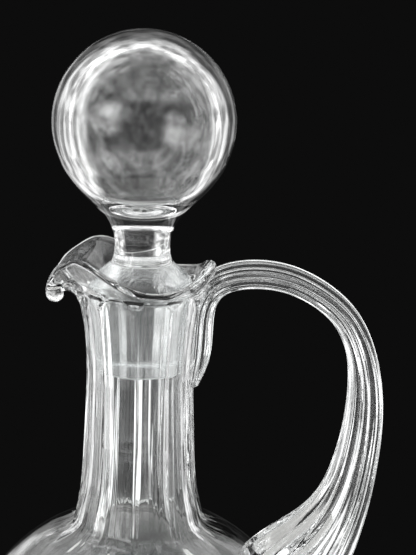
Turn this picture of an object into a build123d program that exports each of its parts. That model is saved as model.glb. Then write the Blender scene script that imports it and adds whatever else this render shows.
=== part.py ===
from build123d import *
import math
import os

# A clear glass carafe: globe bowl, fluted neck with a three-lobed lip, reeded handle and ball stopper.
# Millimetres, +Z up, origin in the middle of the base. The handle points along +X, the spout along -X.

# bowl
globe_radius = 68.0
foot_radius = 35.5
bowl_wall = 3.0
base_thickness = 6.5
pontil_radius = 12.0
pontil_depth = 1.0
foot_edge_radius = 0.8

# neck
neck_root_radius = 33.0
neck_waist_radius = 19.9
neck_top_radius = 21.7
neck_length = 87.5
neck_bore_radius = 16.0
flute_count = 10
flute_depth = 1.6

# lip
lip_base_radius = 22.6
lip_wall = 2.8
lip_height = 22.0
lip_root_depth = 4.0
lip_root_inset = 2.6
seat_above_lip_base = 6.0
seat_ledge = 0.8

# stopper
ball_radius = 32.5
ball_wall = 7.0
ball_above_seam = 50.0
stem_radius = 10.0
stem_foot_radius = 11.0
stem_length = 33.0
plug_top_radius = 18.3
plug_bottom_radius = 16.2
plug_ground_length = 29.5
plug_shoulder_height = 10.0
plug_edge = 0.9
seat_clearance = 0.08

# handle
handle_reach = 89.0
handle_rise = 18.1
handle_tail_drop = 29.0
handle_top_thickness = 10.5
handle_side_thickness = 13.8
handle_pad_length = 44.0
handle_width = 12.5
handle_pad_width = 32.0
reed_count = 10
reed_height = 0.7

# heights that follow from the sizes above
globe_centre_z = math.sqrt(globe_radius**2 - foot_radius**2)
neck_root_z = globe_centre_z + math.sqrt(globe_radius**2 - neck_root_radius**2)
lip_base_z = neck_root_z + neck_length
seat_top_z = lip_base_z + seat_above_lip_base
plug_bottom_z = seat_top_z - plug_ground_length
lip_top_z = lip_base_z + lip_height
seam_z = seat_top_z + plug_shoulder_height
ball_centre_z = seam_z + ball_above_seam

# Each lip station: angle from the spout, how far the rim's middle stands out past the lip's base radius,
# its height above the lip's base, the direction in which the wall runs out there, up from level, and
# its thickness there as a share of the lip's wall.
lip_stations = [
    (0, 9.6, 2.1, -98, 1.5),
    (8, 10.0, 5.3, -60, 1.4),
    (17, 8.6, 12.0, 0, 1.15),
    (30, 7.0, 16.3, 40, 1.0),
    (47, 6.4, 19.0, 60, 1.0),
    (68, 6.2, 16.0, 50, 1.0),
    (85, 4.2, 11.3, 40, 1.0),
    (103, 2.6, 8.9, 35, 1.0),
    (125, 2.8, 9.4, 35, 1.04),
    (150, 2.1, 11.8, 45, 1.3),
    (166, 1.9, 13.9, 55, 1.65),
    (180, 1.8, 14.4, 60, 1.8),
]


def polar(radius, degrees):
    """Level and upright parts of a length at an angle above level."""
    angle = math.radians(degrees)
    return radius * math.cos(angle), radius * math.sin(angle)


def turned(outline):
    """A solid turned from a closed outline in the XZ plane."""
    return revolve(Plane.XZ * outline, Axis.Z)


def bowl():
    """The globe with its flat foot and the shallow polished mark under it, still solid inside."""
    foot_corner = (foot_radius, 0)
    side = ThreePointArc(foot_corner, (globe_radius, globe_centre_z), (neck_root_radius, neck_root_z))
    outline = make_face(
        [
            TangentArc((0, pontil_depth), (pontil_radius, 0), tangent=(1, 0)),
            Line((pontil_radius, 0), foot_corner),
            side,
            Line((neck_root_radius, neck_root_z), (0, neck_root_z)),
            Line((0, neck_root_z), (0, pontil_depth)),
        ]
    )
    corner = outline.vertices().sort_by_distance((foot_radius, 0, 0))[0]
    return turned(fillet(corner, foot_edge_radius))


def fluted_section(height, ridge_radius, depth):
    """A level slice of the neck: hollow arcs between sharp ridges, or a circle where the depth is 0."""
    step = 360 / flute_count
    arcs = []
    for number in range(flute_count):
        start = polar(ridge_radius, (number + 0.5) * step)
        middle = polar(ridge_radius - depth, (number + 1) * step)
        end = polar(ridge_radius, (number + 1.5) * step)
        arcs.append(ThreePointArc(start, middle, end))
    return Pos(0, 0, height) * make_face(arcs)


def neck_section_sizes():
    """Share of the neck's length, ridge radius and flute depth of each slice, from the globe up."""
    root_flare = neck_root_radius - neck_waist_radius
    top_flare = neck_top_radius - neck_waist_radius
    return [
        (0.0, neck_root_radius, 0.0),
        (0.03, neck_waist_radius + 0.565 * root_flare, 0.45 * flute_depth),
        (0.09, neck_waist_radius + 0.305 * root_flare, 0.9 * flute_depth),
        (0.2, neck_waist_radius + 0.175 * root_flare, flute_depth),
        (0.4, neck_waist_radius + 0.076 * root_flare, flute_depth),
        (0.58, neck_waist_radius + 0.023 * root_flare, flute_depth),
        (0.76, neck_waist_radius, flute_depth),
        (0.88, neck_waist_radius + 0.36 * top_flare, 0.9 * flute_depth),
        (0.95, neck_waist_radius + 0.81 * top_flare, 0.5 * flute_depth),
        (1.0, neck_top_radius, 0.0),
    ]


def neck():
    """The fluted neck, from the globe's shoulder to the base of the lip, still solid inside."""
    slices = []
    for share, radius, depth in neck_section_sizes():
        slices.append(fluted_section(neck_root_z + share * neck_length, radius, depth))
    return loft(slices)


def lip_section(angle, past_base, above_base, heading, wall_share):
    """The upright slice of the lip's wall at one angle from the spout."""
    rim = Vector(lip_base_radius + past_base, lip_base_z + above_base)
    run = Vector(*polar(1, heading))
    side = Vector(run.Y, -run.X)
    half = wall_share * lip_wall / 2
    root_out = Vector(lip_base_radius - lip_root_inset, lip_base_z - lip_root_depth)
    root_in = Vector(neck_bore_radius, lip_base_z - lip_root_depth)
    seat = Vector(plug_top_radius + seat_clearance + seat_ledge, seat_top_z)
    seat_in = Vector(neck_bore_radius, seat_top_z)
    rim_out = rim + side * half
    rim_in = rim - side * half
    edges = [
        Line(root_in, root_out),
        Spline(root_out, rim_out, tangents=[(0.7, 1), run]),
        ThreePointArc(rim_out, rim + run * half, rim_in),
        Spline(rim_in, seat, tangents=[-run, (-0.9, -0.45)]),
        Line(seat, seat_in),
        Line(seat_in, root_in),
    ]
    ahead = math.cos(math.radians(angle))
    aside = math.sin(math.radians(angle))
    upright = Plane(origin=(0, 0, 0), x_dir=(-ahead, aside, 0), z_dir=(aside, ahead, 0))
    return upright * make_face(edges)


def lip():
    """The three-lobed lip: its wall's slice carried round from the spout to the handle, then mirrored."""
    first = [(-angle, *rest) for angle, *rest in reversed(lip_stations[1:3])]
    last = [(360 - angle, *rest) for angle, *rest in reversed(lip_stations[-3:-1])]
    slices = [lip_section(*station) for station in first + lip_stations + last]
    ring = loft(slices)
    reach = 4 * globe_radius
    half = ring & Pos(0, reach / 2, lip_base_z) * Box(reach, reach, reach)
    return half + mirror(half, Plane.XZ)


def interior():
    """The space inside the vessel: globe, shoulder, bore and the tapered seat for the plug."""
    inner_radius = globe_radius - bowl_wall
    floor_radius = 0.55 * foot_radius
    shoulder_radius = neck_root_radius - bowl_wall
    shoulder_z = globe_centre_z + math.sqrt(inner_radius**2 - shoulder_radius**2)
    bore_start_z = neck_root_z + 0.42 * neck_length
    corner = math.radians(-50)
    corner_point = (inner_radius * math.cos(corner), globe_centre_z + inner_radius * math.sin(corner))
    corner_run = (-math.sin(corner), math.cos(corner))
    globe_side = ThreePointArc(corner_point, (inner_radius, globe_centre_z), (shoulder_radius, shoulder_z))
    outline = make_face(
        [
            Line((0, base_thickness), (floor_radius, base_thickness)),
            Spline((floor_radius, base_thickness), corner_point, tangents=[(1, 0), corner_run]),
            globe_side,
            Spline(
                (shoulder_radius, shoulder_z),
                (0.35 * neck_bore_radius + 0.392 * neck_root_radius, neck_root_z + 0.1 * neck_length),
                (neck_bore_radius, bore_start_z),
                tangents=[globe_side % 1, (0, 1)],
            ),
            Line((neck_bore_radius, bore_start_z), (neck_bore_radius, plug_bottom_z)),
            Line((neck_bore_radius, plug_bottom_z), (plug_bottom_radius + seat_clearance, plug_bottom_z)),
            Line((plug_bottom_radius + seat_clearance, plug_bottom_z), (plug_top_radius + seat_clearance, seat_top_z)),
            Line((plug_top_radius + seat_clearance, seat_top_z), (plug_top_radius + seat_clearance, lip_top_z)),
            Line((plug_top_radius + seat_clearance, lip_top_z), (0, lip_top_z)),
            Line((0, lip_top_z), (0, base_thickness)),
        ]
    )
    return turned(outline)


def vessel_outside():
    """Everything that the vessel fills if it were solid glass, for the handle to seat against."""
    return bowl() + neck() + lip()


def handle_stations():
    """Centre, heading, thickness and width of each slice, from the tail's tip up and over to the globe."""
    top = handle_top_thickness
    side = handle_side_thickness
    wide = handle_width
    arch_z = lip_base_z + handle_rise - top / 2
    tail_z = lip_base_z - handle_tail_drop
    tail_x = neck_waist_radius + 0.16 * top
    side_x = handle_reach - side / 2
    drop = arch_z - globe_centre_z
    pad = []
    for degrees, past, heading, thick, width in (
        (39, 0.81 * top, -125, 0.87 * handle_pad_length, 0.85 * handle_pad_width),
        (34, -0.71 * top, -125, handle_pad_length, handle_pad_width),
        (30, -1.67 * top, -125, handle_pad_length, handle_pad_width),
    ):
        level, upright = polar(globe_radius + past, degrees)
        pad.append((level, globe_centre_z + upright, heading, thick, width))
    return [
        (tail_x - 0.23 * top, tail_z, 90, 0.45 * top, 0.55 * wide),
        (tail_x - 0.17 * top, tail_z + 0.43 * top, 90, 0.75 * top, 0.75 * wide),
        (tail_x - 0.095 * top, tail_z + 1.05 * top, 90, 0.95 * top, 0.88 * wide),
        (tail_x - 0.03 * top, lip_base_z - 0.57 * top, 90, 0.97 * top, 0.96 * wide),
        (tail_x + 0.07 * top, lip_base_z + 0.14 * top, 82, top, 1.04 * wide),
        (tail_x + 0.42 * top, lip_base_z + 0.76 * top, 45, top, 1.1 * wide),
        (tail_x + 1.05 * top, arch_z - 0.12 * top, 18, top, 1.06 * wide),
        (tail_x + 1.95 * top, arch_z, 0, top, 1.03 * wide),
        (0.64 * side_x, arch_z - 0.12 * top, -15, 0.98 * top, wide),
        (0.77 * side_x, arch_z - 0.56 * top, -33, 0.95 * top, wide),
        (0.89 * side_x, arch_z - 1.34 * top, -50, 0.95 * top, wide),
        (0.97 * side_x, arch_z - 0.17 * drop, -72, 0.8 * side, 1.04 * wide),
        (side_x, arch_z - 0.285 * drop, -88, side, 1.12 * wide),
        (0.975 * side_x, arch_z - 0.425 * drop, -98, 1.22 * side, 1.26 * wide),
        (0.897 * side_x, arch_z - 0.56 * drop, -112, 1.66 * side, 1.5 * wide),
    ] + pad


def reeded_section(level, height, heading, thick, width):
    """A slice of the handle square to its run: an oval whose edge is a ring of rounded reeds."""
    run_x, run_z = polar(1, heading)
    across = Plane(origin=(level, 0, height), x_dir=(-run_z, 0, run_x), z_dir=(run_x, 0, run_z))
    step = 360 / reed_count
    arcs = []
    for number in range(reed_count):
        points = []
        for share, grow in ((0, 0), (0.5, 1), (1, 0)):
            angle = math.radians((number + share) * step)
            reach_in = thick / 2 - reed_height * (1 - grow)
            reach_side = width / 2 - reed_height * (1 - grow)
            points.append((reach_in * math.cos(angle), reach_side * math.sin(angle)))
        arcs.append(ThreePointArc(*points))
    return across * make_face(arcs)


def handle():
    """The pulled and reeded handle, its tail pressed down the neck and its pad on the shoulder."""
    blank = loft([reeded_section(*station) for station in handle_stations()])
    mouth = Cone(lip_base_radius - lip_wall, lip_base_radius + 1.35 * lip_wall, lip_top_z - lip_base_z)
    return blank - vessel_outside() - Pos(0, 0, (lip_base_z + lip_top_z) / 2) * mouth


def stopper_ball():
    """The hollow ball, drawn down through a funnel to its solid stem."""
    leave = math.radians(-30)
    leave_point = (ball_radius * math.cos(leave), ball_centre_z + ball_radius * math.sin(leave))
    leave_run = (math.sin(leave), -math.cos(leave))
    stem_z = seam_z + 0.26 * stem_length
    funnel_point = (1.64 * stem_radius, stem_z + 0.345 * stem_length)
    top = (0, ball_centre_z + ball_radius)
    shoulder = polar(ball_radius, 30)
    outline = make_face(
        [
            Line((0, seam_z), (stem_foot_radius, seam_z)),
            Spline((stem_foot_radius, seam_z), (stem_radius, stem_z), tangents=[(-0.35, 1), (0, 1)]),
            Spline((stem_radius, stem_z), funnel_point, leave_point, tangents=[(0, 1), (-leave_run[0], -leave_run[1])]),
            ThreePointArc(leave_point, (shoulder[0], ball_centre_z + shoulder[1]), top),
            Line(top, (0, seam_z)),
        ]
    )
    hollow_radius = ball_radius - ball_wall
    hollow_leave = math.radians(-40)
    hollow_point = (hollow_radius * math.cos(hollow_leave), ball_centre_z + hollow_radius * math.sin(hollow_leave))
    hollow_run = (math.sin(hollow_leave), -math.cos(hollow_leave))
    hollow_top = (0, ball_centre_z + hollow_radius)
    hollow_bottom = (0, ball_centre_z - hollow_radius - 0.6 * ball_wall)
    hollow_side = polar(hollow_radius, 25)
    bubble = make_face(
        [
            Spline(hollow_bottom, hollow_point, tangents=[(1, 0), (-hollow_run[0], -hollow_run[1])]),
            ThreePointArc(hollow_point, (hollow_side[0], ball_centre_z + hollow_side[1]), hollow_top),
            Line(hollow_top, hollow_bottom),
        ]
    )
    return turned(outline) - turned(bubble)


def stopper_plug():
    """The solid plug: a domed shoulder over the ground taper, with a small edge cut round the bottom."""
    shoulder_z = seat_top_z + 0.1 * plug_shoulder_height
    outline = make_face(
        [
            Line((0, plug_bottom_z), (plug_bottom_radius - plug_edge, plug_bottom_z)),
            Line((plug_bottom_radius - plug_edge, plug_bottom_z), (plug_bottom_radius, plug_bottom_z + plug_edge)),
            Line((plug_bottom_radius, plug_bottom_z + plug_edge), (plug_top_radius, seat_top_z)),
            Line((plug_top_radius, seat_top_z), (plug_top_radius, shoulder_z)),
            Spline((plug_top_radius, shoulder_z), (stem_foot_radius, seam_z), tangents=[(0, 1), (-0.75, 0.66)]),
            Line((stem_foot_radius, seam_z), (0, seam_z)),
            Line((0, seam_z), (0, plug_bottom_z)),
        ]
    )
    return turned(outline)


def vessel():
    """The blown vessel: globe, fluted neck and lip in one glass, hollow down to its floor."""
    return vessel_outside() - interior()


pieces = {
    "vessel": vessel,
    "handle": handle,
    "stopper_ball": stopper_ball,
    "stopper_plug": stopper_plug,
}

os.makedirs("parts", exist_ok=True)
for name, make in pieces.items():
    piece = make()
    print(name, round(piece.volume), len(piece.solids()), piece.is_valid)
    export_step(piece, f"parts/{name}.step")
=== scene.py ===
import math

import bpy
import numpy as np
from mathutils import Matrix, Vector


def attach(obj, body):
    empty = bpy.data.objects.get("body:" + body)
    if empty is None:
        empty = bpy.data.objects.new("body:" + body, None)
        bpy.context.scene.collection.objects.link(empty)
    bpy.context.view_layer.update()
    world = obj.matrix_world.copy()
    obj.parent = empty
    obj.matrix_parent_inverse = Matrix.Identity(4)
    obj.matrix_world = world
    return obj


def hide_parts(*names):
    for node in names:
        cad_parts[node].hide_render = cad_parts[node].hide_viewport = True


# A clear glass carafe with a fluted neck, a three-lobed lip, a reeded handle and a hollow ball stopper.
# Sizes are in millimetres in the settings and become metres where a mesh is made.
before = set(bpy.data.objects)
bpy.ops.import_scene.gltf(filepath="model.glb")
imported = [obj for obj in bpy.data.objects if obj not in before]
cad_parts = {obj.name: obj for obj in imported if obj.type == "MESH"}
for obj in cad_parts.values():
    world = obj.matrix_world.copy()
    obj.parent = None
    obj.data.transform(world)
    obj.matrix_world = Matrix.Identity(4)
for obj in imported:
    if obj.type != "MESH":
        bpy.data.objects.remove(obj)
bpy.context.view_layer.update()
toMetres = 0.001


def splineThrough(knots, values, at):
    # smooth curve through the knots: cubic pieces whose slope and bend match, straight at both ends
    knots, values, at = (np.asarray(item, float) for item in (knots, values, at))
    gap = np.diff(knots)
    rise = (np.diff(values, axis=0).T / gap).T
    count = len(knots)
    system, wanted = np.eye(count), np.zeros_like(values)
    middle = np.arange(1, count - 1)
    system[middle, middle - 1] = gap[:-1]
    system[middle, middle] = 2 * (gap[:-1] + gap[1:])
    system[middle, middle + 1] = gap[1:]
    wanted[1:-1] = 6 * np.diff(rise, axis=0)
    bend = np.linalg.solve(system, wanted)
    left = np.clip(np.searchsorted(knots, at, side="right") - 1, 0, count - 2)
    step, before, after = gap[left], at - knots[left], knots[left + 1] - at
    if values.ndim > 1:
        step, before, after = step[..., None], before[..., None], after[..., None]
    return (
        (bend[left] * after**3 + bend[left + 1] * before**3) / (6 * step)
        + (values[left] / step - bend[left] * step / 6) * after
        + (values[left + 1] / step - bend[left + 1] * step / 6) * before
    )


def hermite(start, startRun, end, endRun, share):
    # curve that leaves start along startRun and arrives at end along endRun, cubic in share from 0 to 1
    share = np.asarray(share)[:, None, None]
    square, cube = share**2, share**3
    return (
        (2 * cube - 3 * square + 1) * start
        + (cube - 2 * square + share) * startRun
        + (3 * square - 2 * cube) * end
        + (cube - square) * endRun
    )


def arcPoints(centreZ, radius, startDegrees, endDegrees, count):
    # radius and height along a circle round a point on the axis, angles from level
    angle = np.radians(np.linspace(startDegrees, endDegrees, count))
    return np.stack([radius * np.cos(angle), centreZ + radius * np.sin(angle)], axis=-1)


def gridFaces(rows, columns):
    # quads of a grid that closes round its columns
    row, column = np.meshgrid(np.arange(rows - 1), np.arange(columns), indexing="ij")
    beside = (column + 1) % columns
    lower, upper = row * columns, (row + 1) * columns
    quads = np.stack([lower + column, lower + beside, upper + beside, upper + column], axis=-1)
    return quads.reshape(-1, 4)


def closedShell(grid):
    # a grid of rings between two poles, its first and last rows being one point each, faces pointing out
    rings = grid[1:-1]
    rows, columns = rings.shape[:2]
    points = np.concatenate([rings.reshape(-1, 3), grid[0, :1], grid[-1, :1]])
    quads = gridFaces(rows, columns)
    column = np.arange(columns)
    beside = (column + 1) % columns
    startPole, endPole = len(points) - 2, len(points) - 1
    startFan = np.stack([beside, column, np.full(columns, startPole)], axis=-1)
    lastRing = (rows - 1) * columns
    endFan = np.stack([lastRing + column, lastRing + beside, np.full(columns, endPole)], axis=-1)
    loose = np.concatenate([quads[:, [0, 1, 2]], quads[:, [0, 2, 3]], startFan, endFan])
    corner = points[loose]
    volume = np.einsum("ij,ij->i", corner[:, 0], np.cross(corner[:, 1], corner[:, 2])).sum() / 6
    if volume < 0:
        quads, startFan, endFan = quads[:, ::-1], startFan[:, ::-1], endFan[:, ::-1]
    return points, [quads, startFan, endFan]


def makeObject(name, points, faces):
    # a mesh object from points in millimetres and blocks of faces
    mesh = bpy.data.meshes.new(name)
    corners = [face for block in faces for face in block.tolist()]
    mesh.from_pydata((points * toMetres).tolist(), [], corners)
    made = bpy.data.objects.new(name, mesh)
    bpy.context.scene.collection.objects.link(made)
    return made


def makePiece(name, shells, hidden, body, node, materials):
    # one smooth-shaded piece from closed shells; faces whose points are all hidden get the second material
    points, faces, start = [], [], 0
    for shellPoints, shellFaces in shells:
        points.append(shellPoints)
        faces += [block + start for block in shellFaces]
        start += len(shellPoints)
    piece = makeObject(name, np.concatenate(points), faces)
    mesh = piece.data
    mesh.polygons.foreach_set("use_smooth", np.ones(len(mesh.polygons), bool))
    fused = np.concatenate([hidden[block].all(axis=1) for block in faces])
    mesh.polygons.foreach_set("material_index", fused.astype(np.int32))
    mesh.update()
    for material in materials:
        mesh.materials.append(material)
    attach(piece, body)
    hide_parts(node)
    print(name, len(mesh.vertices), "points", len(mesh.polygons), "faces", int(fused.sum()), "fused")


def straightRun(start, end, count, margin=0.1):
    # points along a straight line, with one close to each end so that shading stays crisp at the corners
    start, end = np.asarray(start, float), np.asarray(end, float)
    near = margin / np.linalg.norm(end - start)
    share = np.concatenate([[0, near], np.linspace(0, 1, count)[1:-1], [1 - near, 1]])[:, None]
    return start + (end - start) * share


def makeSocket(group, name, way):
    group.interface.new_socket(name, in_out=way, socket_type="NodeSocketFloat")


def feed(tree, node, values):
    # each input takes a plain value or another node's output
    for socket, value in zip(node.inputs, values):
        if isinstance(value, bpy.types.NodeSocket):
            tree.links.new(value, socket)
        else:
            socket.default_value = value
    return node.outputs


def mathNode(tree, kind, first, second=0.0, clamp=False):
    node = tree.nodes.new("ShaderNodeMath")
    node.operation, node.use_clamp = kind, clamp
    return feed(tree, node, (first, second))[0]


def vectorNode(tree, kind, first, second=(0, 0, 0)):
    node = tree.nodes.new("ShaderNodeVectorMath")
    node.operation = kind
    return feed(tree, node, (first, second))


def ramp(tree, value, start, steepness):
    # 0 while the value is below the start, then rising to 1
    return mathNode(tree, "MULTIPLY", mathNode(tree, "SUBTRACT", value, start), steepness, True)


def product(tree, first, *others):
    for other in others:
        first = mathNode(tree, "MULTIPLY", first, other)
    return first


# draw lines fade in and out with height and with distance from the axis
# below puckerTop the glass is puckered as well
waveFade = {"byHeight": 80.0, "byRadius": 60.0, "puckerTop": 0.123, "pucker": 120.0}
waveInputs = (
    "Broad Scale", "Fine Scale", "Fine Share",
    "Draw Scale", "Draw Share", "Draw From", "Draw To", "Draw Out", "Pucker",
)


def makeWavesGroup():
    # height of hand-worked glass: slow waves, finer ones, and draw lines down the neck between two heights
    group = bpy.data.node_groups.new("handWorkedWaves", "ShaderNodeTree")
    for name in waveInputs:
        makeSocket(group, name, "INPUT")
    makeSocket(group, "Height", "OUTPUT")
    nodes, links = group.nodes, group.links
    entry, leave = nodes.new("NodeGroupInput").outputs, nodes.new("NodeGroupOutput").inputs
    place = nodes.new("ShaderNodeTexCoord").outputs["Object"]
    height = feed(group, nodes.new("ShaderNodeSeparateXYZ"), (place,))["Z"]
    # the direction from the axis, plus the height, is where the draw lines are read
    level = vectorNode(group, "MULTIPLY", place, (1, 1, 0))[0]
    fromAxis = vectorNode(group, "LENGTH", level)["Value"]
    around = vectorNode(group, "NORMALIZE", level)[0]
    drawPlace = vectorNode(group, "ADD", around, vectorNode(group, "MULTIPLY", place, (0, 0, 1))[0])[0]
    noises = []
    for source, scale, detail in (
        (place, "Broad Scale", 1),
        (place, "Fine Scale", 2),
        (drawPlace, "Draw Scale", 0.7),
    ):
        noise = nodes.new("ShaderNodeTexNoise")
        noise.inputs["Detail"].default_value = detail
        links.new(source, noise.inputs["Vector"])
        links.new(entry[scale], noise.inputs["Scale"])
        noises.append(noise.outputs["Fac"])
    broad, fine, draw = noises
    above = ramp(group, height, entry["Draw From"], waveFade["byHeight"])
    below = ramp(group, entry["Draw To"], height, waveFade["byHeight"])
    beside = ramp(group, entry["Draw Out"], fromAxis, waveFade["byRadius"])
    low = ramp(group, waveFade["puckerTop"], height, waveFade["pucker"])
    lines = product(group, above, below, draw, beside, entry["Draw Share"])
    puckers = product(group, low, above, beside, entry["Pucker"])
    ripples = product(group, fine, mathNode(group, "ADD", entry["Fine Share"], puckers))
    total = mathNode(group, "ADD", mathNode(group, "ADD", broad, ripples), lines)
    links.new(total, leave["Height"])
    return group


waves = makeWavesGroup()

# bump, and the heights and distance that bound the draw lines, are in metres
noDrawLines = {
    "Draw Scale": 300, "Draw Share": 0, "Draw From": 0, "Draw To": 0.3, "Draw Out": 0.2, "Pucker": 0,
}
glassLooks = {
    "blownGlass": {
        "tint": (0.965, 0.975, 0.975), "rough": 0.0, "bump": 0.0006,
        "Broad Scale": 22, "Fine Scale": 120, "Fine Share": 0.03, "Draw Scale": 8.5, "Draw Share": 0.95,
        "Draw From": 0.095, "Draw To": 0.212, "Draw Out": 0.037, "Pucker": 0.5,
    },
    "drawnGlass": {
        "tint": (0.965, 0.975, 0.975), "rough": 0.0, "bump": 0.0008,
        "Broad Scale": 34, "Fine Scale": 160, "Fine Share": 0.15, **noDrawLines,
    },
    "ballGlass": {
        "tint": (0.97, 0.975, 0.975), "rough": 0.0, "bump": 0.0003,
        "Broad Scale": 20, "Fine Scale": 120, "Fine Share": 0.1, **noDrawLines,
    },
    "groundGlass": {
        "tint": (0.95, 0.96, 0.96), "rough": 0.2, "bump": 0.0003,
        "Broad Scale": 60, "Fine Scale": 900, "Fine Share": 0.3, **noDrawLines,
    },
}
shadowTint = (0.85, 0.87, 0.87, 1)
glassIndex = 1.5


def letShadowsPass(material):
    # a shadow ray passes, so that the glass throws a pale shadow as real glass does
    nodes, links = material.node_tree.nodes, material.node_tree.links
    path, mix = nodes.new("ShaderNodeLightPath"), nodes.new("ShaderNodeMixShader")
    clear = nodes.new("ShaderNodeBsdfTransparent")
    clear.inputs["Color"].default_value = shadowTint
    links.new(path.outputs["Is Shadow Ray"], mix.inputs["Fac"])
    links.new(nodes["Principled BSDF"].outputs["BSDF"], mix.inputs[1])
    links.new(clear.outputs["BSDF"], mix.inputs[2])
    links.new(mix.outputs["Shader"], nodes["Material Output"].inputs["Surface"])


def makeFusedJoint():
    # where two gathers of glass are melted together nothing bends the light, so the index is 1
    material = bpy.data.materials.new("fusedJoint")
    material.use_nodes = True
    glass = material.node_tree.nodes["Principled BSDF"]
    glass.inputs["Base Color"].default_value = (1, 1, 1, 1)
    glass.inputs["Roughness"].default_value = 0
    glass.inputs["IOR"].default_value = 1
    glass.inputs["Transmission Weight"].default_value = 1
    letShadowsPass(material)
    return material


def clearGlass(name):
    # tinted glass whose surface is waved by the shared group, at this look's own scales
    look = glassLooks[name]
    material = bpy.data.materials.new(name)
    material.use_nodes = True
    nodes, links = material.node_tree.nodes, material.node_tree.links
    glass = nodes["Principled BSDF"]
    glass.inputs["Base Color"].default_value = (*look["tint"], 1)
    glass.inputs["Roughness"].default_value = look["rough"]
    glass.inputs["IOR"].default_value = glassIndex
    glass.inputs["Transmission Weight"].default_value = 1
    height, bump = nodes.new("ShaderNodeGroup"), nodes.new("ShaderNodeBump")
    height.node_tree = waves
    for socket in height.inputs:
        socket.default_value = look[socket.name]
    bump.inputs["Distance"].default_value = look["bump"]
    links.new(height.outputs["Height"], bump.inputs["Height"])
    links.new(bump.outputs["Normal"], glass.inputs["Normal"])
    letShadowsPass(material)
    return material


# the plug's roughness in its zones, its frosted edge's height in metres, and how fast each zone gives way
grinding = {
    "edge": 0.5, "ground": 0.2, "polished": 0.1,
    "edgeHeight": 0.0009, "edgeFade": 4000, "taperFade": 10000, "domeFade": 500,
}


def grindTaper(material, fromZ, toZ):
    # roughness by height: clear below, frosted on the edge, ground along the taper, nearly clear above
    tree, look = material.node_tree, grinding
    place = tree.nodes.new("ShaderNodeTexCoord").outputs["Object"]
    height = feed(tree, tree.nodes.new("ShaderNodeSeparateXYZ"), (place,))["Z"]
    onEdge = ramp(tree, fromZ + look["edgeHeight"], height, look["edgeFade"])
    onTaper = ramp(tree, height, fromZ, look["taperFade"])
    onDome = ramp(tree, height, toZ, look["domeFade"])
    smoother = product(tree, onDome, look["ground"] - look["polished"])
    rougher = product(tree, onEdge, look["edge"] - look["ground"])
    rough = mathNode(tree, "ADD", mathNode(tree, "SUBTRACT", look["ground"], smoother), rougher)
    tree.links.new(product(tree, rough, onTaper), tree.nodes["Principled BSDF"].inputs["Roughness"])


blownGlass = clearGlass("blownGlass")
drawnGlass = clearGlass("drawnGlass")
ballGlass = clearGlass("ballGlass")
groundGlass = clearGlass("groundGlass")
fusedJoint = makeFusedJoint()
print("glass made")

# the vessel: globe, fluted neck, lip and the tapered seat inside the neck
vesselShape = {
    "globeRadius": 68,
    "footRadius": 35.5,
    "footEdge": 0.8,
    "pontilRadius": 12,
    "pontilDepth": 1,
    "wall": 3,
    "floorThickness": 6.5,
    "floorRadius": 19.525,
    "bendDegrees": -50,  # where the inside of the globe leaves its sphere for the floor
    "neckRootRadius": 33,
    "neckLength": 87.5,
    "boreRadius": 16,
    "seatRadius": 18.38,
    "seatFootRadius": 16.28,
    "seatLength": 29.5,
    "seatAboveLip": 6,
    "seatLedge": 0.8,
    "boreTopBelowSeat": 4,
    "lipBaseRadius": 22.6,
    "lipRootBelow": 4,  # the lip's outer face starts this far down the neck
}
globeZ = math.sqrt(vesselShape["globeRadius"] ** 2 - vesselShape["footRadius"] ** 2)
neckRootZ = globeZ + math.sqrt(vesselShape["globeRadius"] ** 2 - vesselShape["neckRootRadius"] ** 2)
lipBaseZ = neckRootZ + vesselShape["neckLength"]
seatTopZ = lipBaseZ + vesselShape["seatAboveLip"]
plugBottomZ = seatTopZ - vesselShape["seatLength"]
lipRootZ = lipBaseZ - vesselShape["lipRootBelow"]

# how many rows of points each stretch of the profile has
vesselRows = {
    "mark": 11, "flat": 12, "footEdge": 5, "globe": 70, "root": 26, "neck": 34, "arches": 16,
    "lip": 44, "rim": 12, "lipInside": 25,
    "seat": 12, "bore": 8, "shoulder": 34, "innerGlobe": 60, "bend": 16, "floor": 11,
}

# share of the neck's length and the neck's radius there before the flutes are cut
neckStations = [
    (0.0, 33.0), (0.03, 27.6), (0.09, 24.2), (0.2, 22.5), (0.4, 21.2),
    (0.58, 20.5), (0.76, 20.2), (0.88, 20.75), (0.95, 21.6), (1.0, 22.6),
]
# height above the neck's root, and how far the inside stands out past the bore there
shoulderStations = [(36.75, 0), (26.75, 0.6), (17.5, 1.7), (8.75, 3.9), (2.4, 7.2)]
# height above the base, and how deep the middle of a flute is cut there
fluteDepths = [
    (111, 0.0), (115, 0.35), (119, 1.1), (124, 1.8), (130, 2.1), (136, 2.15), (190, 2.15), (215, 2.15),
]
fluteShape = {
    "count": 10,
    "hollow": 1.85,  # how much less it is cut at its edges than in its middle
    "archTop": 213.4,
    "archHeight": 6.2,  # from the points between two flutes up to their tops
    "endSlope": 1.3,
    "columns": 24,
    "ridgeMargin": 0.009,  # share of a flute between a ridge and the columns beside it
    "rowsUpLip": 40,
    "fadeRows": 10,
}

# angle from the spout, how far the rim is past the lip's base radius and above the lip's base,
# the wall's direction in degrees and its thickness
lipStations = [
    (0, 8.8, 2.6, -98, 6.0), (8, 9.2, 5.6, -60, 5.2), (17, 8.4, 12.0, 0, 3.8),
    (30, 7.0, 16.3, 40, 2.9), (47, 6.4, 19.0, 60, 2.8), (68, 6.2, 16.0, 50, 2.8),
    (85, 4.2, 11.3, 40, 2.8), (103, 2.6, 8.9, 35, 2.8), (125, 2.8, 9.4, 35, 2.9),
    (150, 2.1, 11.8, 45, 3.6), (166, 1.9, 13.9, 55, 4.6), (180, 1.8, 14.4, 60, 5.0),
]
# how full the lip's outer curve is, how its inner face arrives at the seat, and a last row just short of it
lipCurve = {"fullness": 1.15, "intoSeat": (-0.9, -0.45), "lastRow": 0.985}


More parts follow.
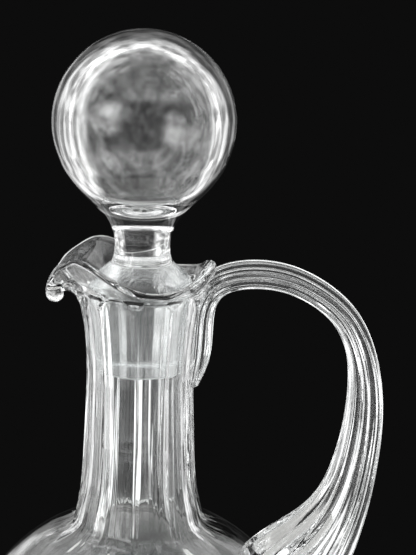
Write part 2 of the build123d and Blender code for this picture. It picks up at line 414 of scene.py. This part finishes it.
def lipAround(fromSpout):
    # rim place and wall direction at each angle, smooth through the stations and the same on both sides
    stations = np.array(lipStations, float)
    back = stations[1:3][::-1] * [-1, 1, 1, 1, 1]
    beyond = stations[-3:-1][::-1] * [-1, 1, 1, 1, 1] + [360, 0, 0, 0, 0]
    knots = np.concatenate([back, stations, beyond])
    return splineThrough(knots[:, 0], knots[:, 1:], fromSpout)


def neckRadius(height):
    # radius of the uncut neck at a height, smooth through its stations
    stations = np.array(neckStations)
    heights = neckRootZ + stations[:, 0] * vesselShape["neckLength"]
    return splineThrough(heights, stations[:, 1], height)


def fluteCut(height, fromHandle):
    # depth of the cut: hollow across each flute, and sloping out to nothing at an arch under the lip
    depths = np.array(fluteDepths, float)
    depth = splineThrough(depths[:, 0], depths[:, 1], np.clip(height, depths[0, 0], depths[-1, 0]))
    step = 360 / fluteShape["count"]
    across = (np.mod(fromHandle + step / 2, step) - step / 2) / (step / 2)
    arch = fluteShape["archTop"] - fluteShape["archHeight"] * across**2
    hollow = depth - fluteShape["hollow"] * across**2
    return np.maximum(0, np.minimum(hollow, fluteShape["endSlope"] * (arch - height)))


def lipRows(fromSpout):
    # the lip's outer face leaves the neck along its slope and reaches the rim along the wall's direction
    # the rim is a half circle as wide as the wall, and the inner face runs from it down to the seat
    rim = lipAround(fromSpout)
    heading = np.radians(rim[:, 2])
    run = np.stack([np.cos(heading), np.sin(heading)], axis=-1)
    side = np.stack([run[:, 1], -run[:, 0]], axis=-1)
    middle = np.stack([vesselShape["lipBaseRadius"] + rim[:, 0], lipBaseZ + rim[:, 1]], axis=-1)
    half = rim[:, 3:] / 2
    root = np.array([neckRadius(lipRootZ), lipRootZ])
    slope = np.array([neckRadius(lipRootZ + 0.5) - neckRadius(lipRootZ - 0.5), 1.0])
    outEdge = middle + side * half
    reach = np.linalg.norm(outEdge - root, axis=1)[:, None] * lipCurve["fullness"]
    outside = hermite(root, slope * reach, outEdge, run * reach, np.linspace(0, 1, vesselRows["lip"])[1:])
    turn = np.radians(np.linspace(0, 180, vesselRows["rim"]))[1:-1, None, None]
    rimRound = middle + half * (side * np.cos(turn) + run * np.sin(turn))
    inEdge = middle - side * half
    ledge = np.array([vesselShape["seatRadius"] + vesselShape["seatLedge"], seatTopZ])
    reachIn = np.linalg.norm(inEdge - ledge, axis=1)[:, None]
    share = np.sort(np.append(np.linspace(0, 1, vesselRows["lipInside"]), lipCurve["lastRow"]))
    inside = hermite(inEdge, -run * reachIn, ledge, np.array(lipCurve["intoSeat"]) * reachIn, share)
    return outside, rimRound, inside


def footProfile():
    # polished mark, flat ring and rounded edge of the foot, then the globe up to the neck's root
    shape, count = vesselShape, vesselRows
    markRadius = np.linspace(0, shape["pontilRadius"], count["mark"])
    markRise = shape["pontilDepth"] * (1 - (markRadius / shape["pontilRadius"]) ** 2)
    small = shape["footEdge"]
    edgeX = math.sqrt((shape["globeRadius"] - small) ** 2 - (globeZ - small) ** 2)
    edgeAngle = math.degrees(math.atan2(small - globeZ, edgeX))
    flatRadius = np.linspace(shape["pontilRadius"] + 0.3, edgeX - 0.3, count["flat"])
    turn = np.radians(np.linspace(-90, edgeAngle, count["footEdge"]))
    edge = np.stack([edgeX + small * np.cos(turn), small * (1 + np.sin(turn))], axis=-1)
    rootAngle = math.degrees(math.acos(shape["neckRootRadius"] / shape["globeRadius"]))
    globe = arcPoints(globeZ, shape["globeRadius"], edgeAngle, rootAngle, count["globe"])[1:]
    mark, flat = np.stack([markRadius, markRise], axis=-1), np.stack([flatRadius, 0 * flatRadius], axis=-1)
    return np.concatenate([mark, flat, edge, globe])


def neckProfile():
    # the uncut neck, its rows closer together over its root and where the flutes' arches are
    closeRoot, closeArchesZ = 12, 190
    heights = np.concatenate([
        neckRootZ + np.linspace(0, closeRoot, vesselRows["root"])[1:],
        np.linspace(neckRootZ + closeRoot + 0.5, closeArchesZ, vesselRows["neck"]),
        np.linspace(closeArchesZ + 0.8, lipRootZ, vesselRows["arches"])[:-1],
    ])
    return np.stack([neckRadius(heights), heights], axis=-1)


def insideProfile():
    # seat, bore and shoulder down to the inner globe, which bends level into the floor
    shape, count = vesselShape, vesselRows
    boreStartZ = neckRootZ + shoulderStations[0][0]
    boreTop = (shape["boreRadius"], plugBottomZ - shape["boreTopBelowSeat"])
    seatTop, seatFoot = (shape["seatRadius"], seatTopZ), (shape["seatFootRadius"], plugBottomZ)
    seat = straightRun(seatTop, seatFoot, count["seat"])
    bore = straightRun(boreTop, (shape["boreRadius"], boreStartZ), count["bore"])
    innerRadius = shape["globeRadius"] - shape["wall"]
    shoulderRadius = shape["neckRootRadius"] - shape["wall"]
    shoulderAngle = math.degrees(math.acos(shoulderRadius / innerRadius))
    shoulderZ = globeZ + math.sqrt(innerRadius**2 - shoulderRadius**2)
    knots = [(neckRootZ + above, shape["boreRadius"] + past) for above, past in shoulderStations]
    knots = np.array([*knots, (shoulderZ, shoulderRadius)])[::-1]
    heights = np.linspace(boreStartZ, shoulderZ, count["shoulder"])[1:]
    shoulder = np.stack([splineThrough(knots[:, 0], knots[:, 1], heights), heights], axis=-1)
    bendStart = shape["bendDegrees"]
    globe = arcPoints(globeZ, innerRadius, shoulderAngle, bendStart, count["innerGlobe"])[1:]
    corner = globe[-1]
    down = np.array([math.sin(math.radians(bendStart)), -math.cos(math.radians(bendStart))])
    floorEdge = np.array([shape["floorRadius"], shape["floorThickness"]])
    reach = np.linalg.norm(corner - floorEdge)
    share = np.linspace(0, 1, count["bend"])
    bend = hermite(corner, down * reach, floorEdge, np.array([-1.0, 0]) * reach, share)[1:, 0]
    floorRadius = np.linspace(floorEdge[0], 0, count["floor"])[1:]
    floor = np.stack([floorRadius, np.full_like(floorRadius, shape["floorThickness"])], axis=-1)
    return np.concatenate([seat, bore, shoulder, globe, bend, floor])


def fluteColumns():
    # angles from the handle, with columns close on both sides of each ridge, so that it stays a crisp line
    count, perFlute = fluteShape["count"], fluteShape["columns"]
    place = np.arange(perFlute) / perFlute
    beside = perFlute // 2 + np.array([-1, 1])
    place[beside] = 0.5 + np.array([-1, 1]) * fluteShape["ridgeMargin"]
    return ((np.arange(count)[:, None] + place) * 360 / count).reshape(-1)


def vesselGrid():
    # radius and height of every row, from the middle of the foot up the outside and down the inside
    # less the flutes' cut, and turned round the axis
    fromHandle = fluteColumns()
    lower = np.concatenate([footProfile(), neckProfile()])

    def allRound(profile):
        return np.broadcast_to(profile[:, None, :], (len(profile), len(fromHandle), 2))

    lip = lipRows(np.abs(fromHandle - 180))
    rows = np.concatenate([allRound(lower), *lip, allRound(insideProfile())])
    # the flutes end on the lip's underside, and the curled spout isn't cut
    cutRows = len(lower) + fluteShape["rowsUpLip"]
    fade = np.clip((cutRows - 2 - np.arange(cutRows)) / fluteShape["fadeRows"], 0, 1)[:, None]
    rows[:cutRows, :, 0] -= fluteCut(rows[:cutRows, :, 1], fromHandle) * fade
    rows[[0, -1], :, 0] = 0
    around = np.radians(fromHandle)
    return np.stack([rows[..., 0] * np.cos(around), rows[..., 0] * np.sin(around), rows[..., 1]], axis=-1)


# the handle: a pulled length whose tail lies down the neck and whose pad spreads on the globe
handleShape = {
    "reach": 89,
    "rise": 18.1,
    "tailDrop": 29,
    "tailRadius": 21.6,
    "topThickness": 10.5,
    "sideThickness": 13.8,
    "width": 12.5,
    "padLength": 44,
    "padWidth": 32,
    # degrees above level at the globe's centre, how far past the globe, shares of the pad's length and width
    "pad": [(39, 8.5, 0.87, 0.85), (34, -7.5, 1, 1), (30, -17.5, 1, 1)],
    "padHeading": -125,
    "reedCount": 10,
    "reedHeight": 1.1,
    "reedCurve": 0.9,
    # waves round the edge, height, and how far their place drifts along the run
    "ripples": [(17, 0.05, 1.3), (29, 0.028, -2.1), (43, 0.014, 2.7)],
    "rippleTurns": 3.1,
    "tipHeight": 1.6,
    "padFrom": 0.7,  # share of the run past which it can meet the globe
    "sunk": 1.0,  # how deep its faces lie under the vessel's outside
    "skin": 0.15,  # what lies deeper than this under the outside counts as melted away
    "sinkAbove": 75,  # above the globe's centre, where it lies against the neck and the lip
    "rows": 260,
    "capRows": 15,
    "tipRows": 9,
    "columnsPerReed": 24,
}


def handleStations():
    # centre, heading, thickness and width along the handle, from the tail's tip over the arch to the pad
    shape = handleShape
    top, side, wide = shape["topThickness"], shape["sideThickness"], shape["width"]
    archZ = lipBaseZ + shape["rise"] - top / 2
    tailZ = lipBaseZ - shape["tailDrop"]
    tailX = shape["tailRadius"]
    sideX = shape["reach"] - side / 2
    drop = archZ - globeZ
    stations = [
        (tailX - 2.4, tailZ, 90, 0.45 * top, 0.55 * wide),
        (tailX - 1.8, tailZ + 4.5, 90, 0.75 * top, 0.75 * wide),
        (tailX - 1.0, tailZ + 11, 90, 0.95 * top, 0.88 * wide),
        (tailX - 0.3, lipBaseZ - 6, 90, 0.97 * top, 0.96 * wide),
        (tailX + 0.7, lipBaseZ + 1.5, 82, top, 1.04 * wide),
        (tailX + 4.4, lipBaseZ + 8, 45, top, 1.1 * wide),
        (tailX + 11, archZ - 1.3, 18, top, 1.06 * wide),
        (0.22 * sideX + tailX + 2, archZ, 0, top, 1.03 * wide),
        (0.64 * sideX, archZ - 1.3, -15, 0.98 * top, wide),
        (0.77 * sideX, archZ - 5.9, -33, 0.95 * top, wide),
        (0.89 * sideX, archZ - 14.1, -50, 0.95 * top, wide),
        (0.97 * sideX, archZ - 0.17 * drop, -72, 0.8 * side, 1.04 * wide),
        (sideX, archZ - 0.285 * drop, -88, side, 1.12 * wide),
        (0.975 * sideX, archZ - 0.425 * drop, -98, 1.22 * side, 1.26 * wide),
        (0.897 * sideX, archZ - 0.56 * drop, -112, 1.66 * side, 1.5 * wide),
    ]
    for degrees, past, longShare, wideShare in shape["pad"]:
        reach, angle = vesselShape["globeRadius"] + past, math.radians(degrees)
        level, upright = reach * math.cos(angle), globeZ + reach * math.sin(angle)
        thick, width = longShare * shape["padLength"], wideShare * shape["padWidth"]
        stations.append((level, upright, shape["padHeading"], thick, width))
    return np.array(stations)


def handleSurface(share):
    # an oval square to the run, less a valley between each two of its rounded reeds
    # share, of rows by columns, is how far along the run each point lies
    shape = handleShape
    columns = shape["reedCount"] * shape["columnsPerReed"]
    stations = handleStations()
    along = np.concatenate([[0], np.cumsum(np.linalg.norm(np.diff(stations[:, :2], axis=0), axis=1))])
    at = splineThrough(along / along[-1], stations, share)
    level, upright, heading, thick, width = np.moveaxis(at, -1, 0)
    angle = np.arange(columns) * 2 * np.pi / columns
    deep = shape["reedHeight"] * (1 - np.abs(np.sin(angle * shape["reedCount"] / 2)) ** shape["reedCurve"])
    deep = deep * np.sqrt(np.maximum(thick / shape["topThickness"], 0.5))  # deeper towards the pad
    for count, height, drift in shape["ripples"]:
        place = count * angle + drift * np.sin(shape["rippleTurns"] * share + count)
        deep = deep + height * (1 + np.cos(place))
    inPlane = (thick / 2 - deep) * np.cos(angle)
    across = (width / 2 - deep) * np.sin(angle)
    heading = np.radians(heading)
    outX, outZ = -np.sin(heading), np.cos(heading)
    return np.stack([level + outX * inPlane, across, upright + outZ * inPlane], axis=-1)


def sunkAgainstVessel(points):
    # a point inside the neck or lip is brought out to just beneath their outer face
    outside = lipRows(np.array([180.0]))[0][:, 0]
    neckHeights = np.linspace(neckRootZ - 2, lipRootZ - 0.2, 120)
    heights = np.concatenate([neckHeights, outside[:, 1]])
    radii = np.concatenate([neckRadius(neckHeights), outside[:, 0]])
    radius = np.hypot(points[..., 0], points[..., 1])
    fromHandle = np.degrees(np.arctan2(points[..., 1], points[..., 0]))
    face = np.interp(points[..., 2], heights, radii) - fluteCut(points[..., 2], fromHandle)
    least = face - handleShape["sunk"]
    above = points[..., 2] > globeZ + handleShape["sinkAbove"]
    grow = np.where(above, np.maximum(least / np.maximum(radius, 0.1), 1), 1)
    hidden = above & (radius < face - handleShape["skin"])
    return points * np.stack([grow, grow, np.ones_like(grow)], axis=-1), hidden


def handleGrid():
    # each lengthwise line stops where it meets a sphere just beneath the globe's face, and a cap closes it
    shape = handleShape
    columns = shape["reedCount"] * shape["columnsPerReed"]
    centre = np.array([0, 0, globeZ])
    sunkRadius = vesselShape["globeRadius"] - shape["sunk"]
    tries = np.linspace(shape["padFrom"], 1, 400)
    probe = handleSurface(np.broadcast_to(tries[:, None], (len(tries), columns)))
    deep = np.linalg.norm(probe - centre, axis=-1) < sunkRadius
    stop = tries[np.argmax(deep, axis=0)]
    share = np.linspace(0, 1, shape["rows"])[:, None] * stop[None, :]
    grid, sunk = sunkAgainstVessel(handleSurface(share))
    rim = grid[-1]
    closing = np.linspace(0, 1, shape["capRows"])[1:, None, None]
    cap = rim + (rim.mean(axis=0) - rim) * closing - centre
    cap = cap / np.linalg.norm(cap, axis=-1, keepdims=True) * sunkRadius + centre
    tip = grid[0]
    opening = np.linspace(1, 0, shape["tipRows"])[:-1, None, None]
    tipCap = tip + (tip.mean(axis=0) - tip) * opening - [0, 0, shape["tipHeight"]] * np.sqrt(opening)
    tipCap, tipSunk = sunkAgainstVessel(tipCap)
    inGlobe = np.linalg.norm(grid - centre, axis=-1) < vesselShape["globeRadius"] - shape["skin"]
    hidden = np.concatenate([tipSunk, sunk | inGlobe, np.ones(cap.shape[:2], bool)])
    return np.concatenate([tipCap, grid, cap]), hidden


def insideSolid(points, corners):
    # how often the triangles wind round each point: about 1 inside them and 0 outside
    turns, perBlock = np.zeros(len(points)), 400
    for block in np.array_split(np.arange(len(points)), max(len(points) // perBlock, 1)):
        first, second, third = np.moveaxis(corners[None] - points[block, None, None], 2, 0)
        long1, long2, long3 = (np.linalg.norm(side, axis=-1) for side in (first, second, third))
        top = np.einsum("ijk,ijk->ij", first, np.cross(second, third))
        base = (
            long1 * long2 * long3
            + np.einsum("ijk,ijk->ij", first, second) * long3
            + np.einsum("ijk,ijk->ij", second, third) * long1
            + np.einsum("ijk,ijk->ij", third, first) * long2
        )
        turns[block] = np.arctan2(top, base).sum(axis=1) / (2 * np.pi)
    return np.abs(turns) > 0.5


def ringsOnly(grid, mask):
    # the same order of points as closedShell makes: rings first, then the two poles
    return np.concatenate([mask[1:-1].reshape(-1), mask[0, :1], mask[-1, :1]])


def fusedOnVessel(grid, handle):
    # the vessel's outer points that lie inside the handle, where its face is melted away
    everyRow, everyColumn = 8, 4
    kept = np.r_[0, 1 : len(handle) - 1 : everyRow, len(handle) - 1]
    coarse, blocks = closedShell(handle[kept, ::everyColumn])
    quads = blocks[0]
    loose = np.concatenate([quads[:, [0, 1, 2]], quads[:, [0, 2, 3]], *blocks[1:]])
    # only points on the handle's side of the vessel's outside are tried
    handleSide, halfWidth, outsideRadius = 12, 17, 17
    near = (grid[..., 0] > handleSide) & (np.abs(grid[..., 1]) < halfWidth) & (grid[..., 2] > globeZ)
    onOutside = np.hypot(grid[..., 0], grid[..., 1]) > outsideRadius
    outer = near & onOutside & (np.arange(len(grid)) < len(grid) // 2)[:, None]
    mask = np.zeros(grid.shape[:2], bool)
    mask[outer] = insideSolid(grid[outer], coarse[loose])
    return mask


handlePoints, handleHidden = handleGrid()
vesselPoints = vesselGrid()
vesselHidden = fusedOnVessel(vesselPoints, handlePoints)
makePiece(
    "vesselGlass", [closedShell(vesselPoints)], ringsOnly(vesselPoints, vesselHidden),
    "carafe", "vessel", [blownGlass, fusedJoint],
)
makePiece(
    "handleGlass", [closedShell(handlePoints)], ringsOnly(handlePoints, handleHidden),
    "carafe", "handle", [drawnGlass, fusedJoint],
)

# the stopper: a hollow ball drawn down to a solid stem, and the ground plug fused under it
stopperShape = {
    "ballRadius": 32.5,
    "ballWall": 7,
    "hollowHang": 4.2,
    "ballAboveSeam": 50,
    "seamAboveSeat": 10,
    "seamRadius": 11,
    "plugTopRadius": 18.3,
    "plugBottomRadius": 16.2,
    "plugEdge": 0.9,
    "overlap": 0.8,  # how far the stem reaches into the plug
    "overlapRadius": 10.8,
    "columns": 220,
    "leaveDegrees": -22,  # where the funnel meets the ball, from level
    # height above the seam and radius of the stem and the funnel under the ball
    "stem": [
        (0, 11.0), (2.4, 10.35), (5.5, 10.0), (8.8, 10.1), (11.4, 10.7), (14.3, 11.9), (17.2, 13.9),
        (20.1, 16.7), (23, 19.7), (25.8, 22.5), (28.7, 25.0), (31.6, 27.1), (34.4, 28.75),
    ],
    # height above the seat and radius of the plug's domed shoulder
    "dome": [(0, 18.3), (2.3, 18.3), (4.9, 17.1), (7.5, 14.3), (10, 11.0)],
}
stopperRows = {
    "foot": 8, "stem": 110, "ball": 110, "hollow": 110,
    "base": 10, "edge": 9, "taper": 24, "dome": 30, "top": 8,
}
seamZ = seatTopZ + stopperShape["seamAboveSeat"]
ballZ = seamZ + stopperShape["ballAboveSeam"]


def turned(profile, columns):
    # a profile of radius and height turned round the axis
    around = np.arange(columns) * 2 * np.pi / columns
    radius, height = profile[:, :1], profile[:, 1:]
    return np.stack([radius * np.cos(around), radius * np.sin(around), height + 0 * around], axis=-1)


def makeStopperBall():
    # funnel and stem run smoothly into the ball, and the space inside hangs down a little towards the stem
    shape = stopperShape
    leave = math.radians(shape["leaveDegrees"])
    leaveZ = ballZ + shape["ballRadius"] * math.sin(leave)
    stem = np.array([(seamZ + above, radius) for above, radius in shape["stem"]])
    beyondZ = leaveZ + 0.4
    onBall = [
        (leaveZ, shape["ballRadius"] * math.cos(leave)),
        (beyondZ, math.sqrt(shape["ballRadius"] ** 2 - (beyondZ - ballZ) ** 2)),
    ]
    knots = np.concatenate([stem, onBall])
    heights = np.linspace(seamZ, leaveZ, stopperRows["stem"])[:-1]
    neck = np.stack([splineThrough(knots[:, 0], knots[:, 1], heights), heights], axis=-1)
    ball = arcPoints(ballZ, shape["ballRadius"], shape["leaveDegrees"], 90, stopperRows["ball"])
    ball[-1, 0] = 0
    footZ = seamZ - shape["overlap"]
    foot = straightRun((0, footZ), (shape["overlapRadius"], footZ), stopperRows["foot"])
    grid = turned(np.concatenate([foot, neck, ball]), shape["columns"])
    hidden = np.zeros(grid.shape[:2], bool)
    hidden[: len(foot) + 1] = True
    hollow = shape["ballRadius"] - shape["ballWall"]
    angle = np.radians(np.linspace(-90, 90, stopperRows["hollow"]))
    hang = np.where(angle < 0, hollow + shape["hollowHang"], hollow)
    hollowProfile = np.stack([hollow * np.cos(angle), ballZ + hang * np.sin(angle)], axis=-1)
    hollowProfile[[0, -1], 0] = 0
    points, faces = closedShell(turned(hollowProfile, shape["columns"]))
    space = points, [block[:, ::-1] for block in faces]
    makePiece(
        "stopperBall", [closedShell(grid), space],
        np.concatenate([ringsOnly(grid, hidden), np.zeros(len(points), bool)]),
        "stopper", "stopper_ball", [ballGlass, fusedJoint],
    )


def makeStopperPlug():
    # domed shoulder over the ground taper, its bottom edge polished round; its top is melted to the stem
    shape = stopperShape
    dome = np.array([(seatTopZ + above, radius) for above, radius in shape["dome"]])
    heights = np.linspace(seatTopZ, seamZ, stopperRows["dome"])[1:]
    shoulder = np.stack([splineThrough(dome[:, 0], dome[:, 1], heights), heights], axis=-1)
    edge, radius = shape["plugEdge"], shape["plugBottomRadius"]
    base = straightRun((0, plugBottomZ), (radius - edge, plugBottomZ), stopperRows["base"])
    turn = np.radians(np.linspace(-90, 0, stopperRows["edge"]))[1:]
    roundedX, roundedZ = radius + edge * (np.cos(turn) - 1), plugBottomZ + edge * (np.sin(turn) + 1)
    rounded = np.stack([roundedX, roundedZ], axis=-1)
    taperFoot, taperTop = (radius, plugBottomZ + edge), (shape["plugTopRadius"], seatTopZ)
    taper = straightRun(taperFoot, taperTop, stopperRows["taper"])[1:]
    topRadius = np.linspace(shape["seamRadius"], 0, stopperRows["top"])[1:]
    top = np.stack([topRadius, np.full_like(topRadius, seamZ)], axis=-1)
    grid = turned(np.concatenate([base, rounded, taper, shoulder, top]), shape["columns"])
    hidden = np.zeros(grid.shape[:2], bool)
    hidden[-len(top) - 1 :] = True
    makePiece(
        "stopperPlug", [closedShell(grid)], ringsOnly(grid, hidden),
        "stopper", "stopper_plug", [groundGlass, fusedJoint],
    )


# the grinding starts a hair above the plug's flat bottom
grindTaper(groundGlass, (plugBottomZ + 0.05) * toMetres, seatTopZ * toMetres)
makeStopperBall()
makeStopperPlug()

# the table's heights, from the foot's
tableShape = {
    "radius": 190, "top": -0.02, "edgeTop": -1.0, "edgeBottom": -4.5, "bottom": -6.0, "columns": 128,
}
tableLook = {"colour": (0.8, 0.79, 0.77), "rough": 0.5}


def makeTable():
    # a thin round top, its profile turned round the axis
    shape, radius, top = tableShape, tableShape["radius"], tableShape["top"]
    profile = np.array([
        (0, shape["bottom"]), (radius - 10, shape["bottom"]), (radius, shape["edgeBottom"]),
        (radius, shape["edgeTop"]), (radius - 1, top), (radius - 100, top), (0, top),
    ])
    table = makeObject("tableTop", *closedShell(turned(profile, shape["columns"])))
    material = bpy.data.materials.new("paleTable")
    material.use_nodes = True
    shader = material.node_tree.nodes["Principled BSDF"]
    shader.inputs["Base Color"].default_value = (*tableLook["colour"], 1)
    shader.inputs["Roughness"].default_value = tableLook["rough"]
    table.data.materials.append(material)
    print("table made")


boxInputs = ("Turn", "Rise", "Half Width", "Half Height", "Edge")


def makeBoxGroup():
    # how much a direction lies in a soft-edged box of light, its middle, half sizes and edge in degrees
    group = bpy.data.node_groups.new("softBox", "ShaderNodeTree")
    for name in (*boxInputs, "Turn Now", "Rise Now"):
        makeSocket(group, name, "INPUT")
    makeSocket(group, "Mask", "OUTPUT")
    entry, leave = group.nodes.new("NodeGroupInput").outputs, group.nodes.new("NodeGroupOutput").inputs
    # the turn's distance is wrapped, so that a box may lie across the seam behind the object
    apart = mathNode(group, "SUBTRACT", entry["Turn Now"], entry["Turn"])
    sideways = mathNode(group, "WRAP", apart, 180.0)
    sideways.node.inputs[2].default_value = -180
    upwards = mathNode(group, "SUBTRACT", entry["Rise Now"], entry["Rise"])
    masks = []
    for distance, half in ((sideways, "Half Width"), (upwards, "Half Height")):
        inside = mathNode(group, "SUBTRACT", entry[half], mathNode(group, "ABSOLUTE", distance))
        masks.append(mathNode(group, "DIVIDE", inside, entry["Edge"], True))
    group.links.new(product(group, *masks), leave["Mask"])
    return group


# directions in degrees: turn 0 is behind the camera at -Y, 90 is +X and rise 90 is straight up
roomLights = [
    {"Turn": -149, "Rise": 8, "Half Width": 11, "Half Height": 56, "Edge": 7, "strength": 1.1},
    {"Turn": -124, "Rise": 10, "Half Width": 19, "Half Height": 60, "Edge": 8, "strength": 1.2},
    {"Turn": -92, "Rise": 15, "Half Width": 15, "Half Height": 60, "Edge": 6, "strength": 2.2},
    {"Turn": 149, "Rise": 8, "Half Width": 11, "Half Height": 56, "Edge": 7, "strength": 1.0},
    {"Turn": 124, "Rise": 0, "Half Width": 19, "Half Height": 60, "Edge": 8, "strength": 1.2},
    {"Turn": 95, "Rise": 10, "Half Width": 14, "Half Height": 60, "Edge": 6, "strength": 2.1},
    {"Turn": 180, "Rise": 35, "Half Width": 50, "Half Height": 17, "Edge": 9, "strength": 0.5},
    {"Turn": 180, "Rise": -52, "Half Width": 70, "Half Height": 18, "Edge": 8, "strength": 0.6},
    {"Turn": -48, "Rise": 8, "Half Width": 24, "Half Height": 22, "Edge": 12, "strength": 4.2},
    {"Turn": 54, "Rise": -12, "Half Width": 28, "Half Height": 16, "Edge": 12, "strength": 3.2},
    {"Turn": -14, "Rise": -36, "Half Width": 70, "Half Height": 18, "Edge": 14, "strength": 2.4},
    {"Turn": 0, "Rise": 10, "Half Width": 120, "Half Height": 80, "Edge": 50, "strength": 0.6},
    {"Turn": 0, "Rise": 72, "Half Width": 220, "Half Height": 44, "Edge": 34, "strength": 1.5},
]
roomLook = {
    "backdrop": 0.004,
    "fill": 0.03,
    "patches": 4.6,
    "patchFrom": 0.38,  # where in the noise a patch starts
    "even": 0.3,
    "uneven": 3.6,  # how much the light varies from one patch of the room to the next
    "onTable": 0.29,  # share of the light that reaches the table
    "through": 0.15,  # share seen straight through the glass towards the front, and where that starts
    "throughFrom": 0.42,
    "throughFade": 5.0,
}


def lightByDirection(tree, place):
    # every box's mask times its strength, over a low fill, and all of it patchy
    split = feed(tree, tree.nodes.new("ShaderNodeSeparateXYZ"), (place,))
    flipped = mathNode(tree, "MULTIPLY", split["Y"], -1.0)
    turnNow = mathNode(tree, "DEGREES", mathNode(tree, "ARCTAN2", split["X"], flipped))
    riseNow = mathNode(tree, "DEGREES", mathNode(tree, "ARCSINE", split["Z"]))
    group = makeBoxGroup()
    total = roomLook["fill"]
    for light in roomLights:
        box = tree.nodes.new("ShaderNodeGroup")
        box.node_tree = group
        feed(tree, box, (*(light[name] for name in boxInputs), turnNow, riseNow))
        total = mathNode(tree, "ADD", product(tree, box.outputs["Mask"], light["strength"]), total)
    noise = tree.nodes.new("ShaderNodeTexNoise")
    noise.inputs["Scale"].default_value = roomLook["patches"]
    noise.inputs["Detail"].default_value = 2
    tree.links.new(place, noise.inputs["Vector"])
    patch = ramp(tree, noise.outputs["Fac"], roomLook["patchFrom"], roomLook["uneven"])
    return product(tree, total, mathNode(tree, "ADD", patch, roomLook["even"])), split["Y"]


def dimmed(tree, light, where, share):
    # the light times the share where the mask is 1, and all of it where the mask is 0
    return product(tree, light, mathNode(tree, "ADD", product(tree, where, share - 1), 1.0))


def makeWorld():
    world = bpy.data.worlds.new("room")
    world.use_nodes = True
    bpy.context.scene.world = world
    tree = world.node_tree
    nodes, links = tree.nodes, tree.links
    background = nodes["Background"]
    background.inputs["Color"].default_value = (1, 1, 1, 1)
    light, ahead = lightByDirection(tree, nodes.new("ShaderNodeTexCoord").outputs["Generated"])
    path, mix = nodes.new("ShaderNodeLightPath").outputs, nodes.new("ShaderNodeMix")
    # the same room lights the pale table more softly, so that it keeps its own tone
    light = dimmed(tree, light, path["Is Diffuse Ray"], roomLook["onTable"])
    # what is seen straight through the glass towards the front or a side stays dark, as the backdrop is
    forwards = ramp(tree, roomLook["throughFrom"], ahead, roomLook["throughFade"])
    unreflected = mathNode(tree, "LESS_THAN", path["Glossy Depth"], 0.5)
    through = product(tree, forwards, unreflected, path["Is Transmission Ray"])
    light = dimmed(tree, light, through, roomLook["through"])
    links.new(path["Is Camera Ray"], mix.inputs["Factor"])
    links.new(light, mix.inputs["A"])
    mix.inputs["B"].default_value = roomLook["backdrop"]
    links.new(mix.outputs["Result"], background.inputs["Strength"])
    print("light made")


# fitted to the photograph: distances in millimetres, angles in degrees
cameraFit = {
    "lens": 90.8, "sensor": 36, "distance": 504, "aimHeight": 215, "rise": 13.3, "roll": 1.53, "turn": 3.0,
    "axisLeft": 23.8,
}


def makeCamera():
    # it looks down on the axis, rolled a little, from a turn that brings the handle slightly towards it
    fit = cameraFit
    rise, turn, roll = (math.radians(fit[name]) for name in ("rise", "turn", "roll"))
    right = Vector((math.cos(turn), math.sin(turn), 0))
    level = Vector((-math.sin(turn), math.cos(turn), 0))
    ahead = level * math.cos(rise) - Vector((0, 0, math.sin(rise)))
    up = level * math.sin(rise) + Vector((0, 0, math.cos(rise)))
    rolledRight = right * math.cos(roll) + up * math.sin(roll)
    rolledUp = up * math.cos(roll) - right * math.sin(roll)
    place = Vector((0, 0, fit["aimHeight"])) - ahead * fit["distance"] + rolledRight * fit["axisLeft"]
    data = bpy.data.cameras.new("photoCamera")
    data.lens = fit["lens"]
    data.sensor_width = fit["sensor"]
    camera = bpy.data.objects.new("photoCamera", data)
    facing = Matrix((rolledRight, rolledUp, -ahead)).transposed().to_4x4()
    camera.matrix_world = Matrix.Translation(place * toMetres) @ facing
    bpy.context.scene.collection.objects.link(camera)
    bpy.context.scene.camera = camera
    print("camera placed")


makeTable()
makeWorld()
makeCamera()
bpy.context.scene.view_settings.view_transform = "Standard"
